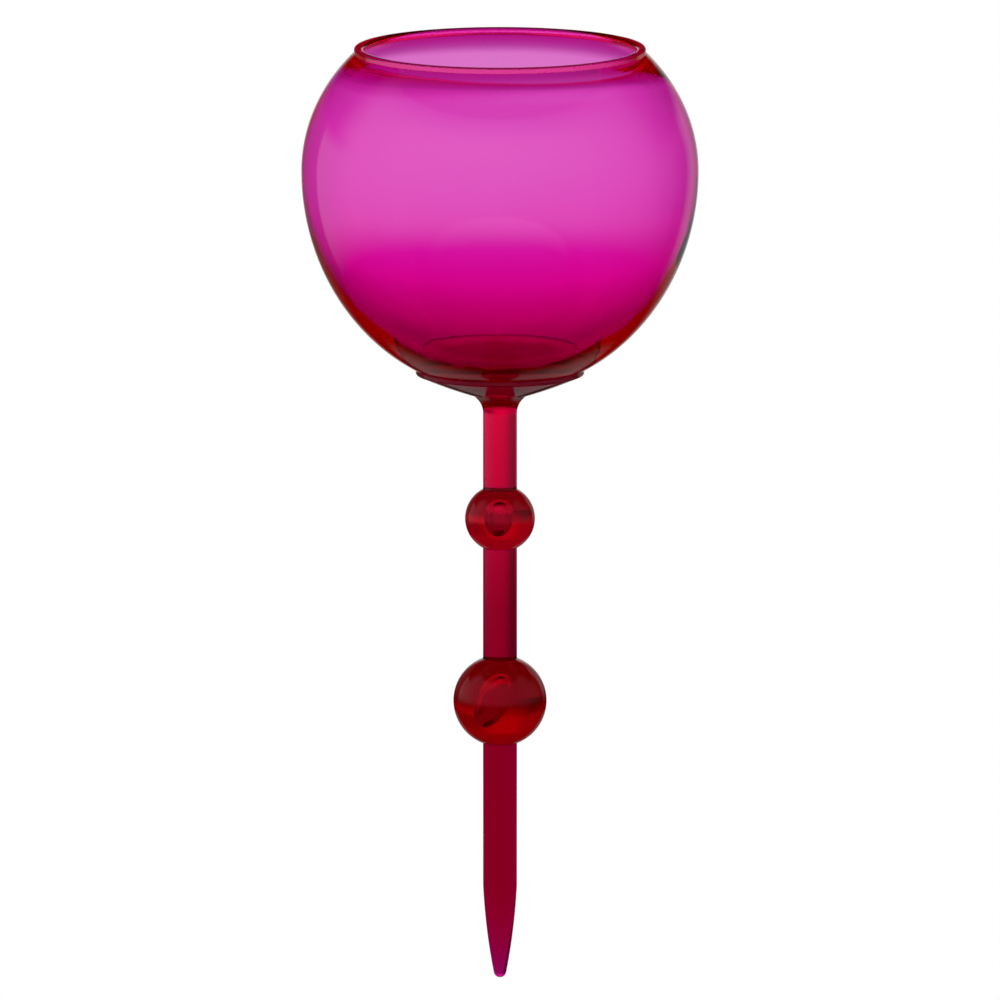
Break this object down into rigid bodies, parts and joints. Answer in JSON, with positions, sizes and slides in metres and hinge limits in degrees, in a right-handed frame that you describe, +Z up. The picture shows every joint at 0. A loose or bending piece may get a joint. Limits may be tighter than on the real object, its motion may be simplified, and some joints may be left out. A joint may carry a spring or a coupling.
{
  "type": "beaded plant stake with open watering bowl",
  "caption": "Open round bowl of thin tinted glass on a slim beaded stem that ends in a pointed stake, pushed into a pot or bed to hold water by a plant.",
  "frame": {"origin": "On the common axis at the planting line, the height on the stake that the soil comes up to, 55 mm above the tip.", "axes": "+Z runs up the common axis from the stake's tip to the bowl's mouth. The part is round about Z, so X and Y are free."},
  "size_m": [0.1, 0.1, 0.2388],
  "materials": {
    "bowl_glass": "blown thin, clear, magenta tint",
    "stem_glass": "clear, looks ruby red where it is thick",
    "cement": "cloudy cement tinted like the pieces"
  },
  "bodies": {
    "root": {"bowl": "bowl_glass", "upper_stem": "stem_glass", "small_bead": "stem_glass", "middle_stem": "stem_glass", "large_bead": "stem_glass", "ground_stake": "stem_glass", "bowl_cement": "cement", "socket_cement": "cement"}
  },
  "joints": []
}
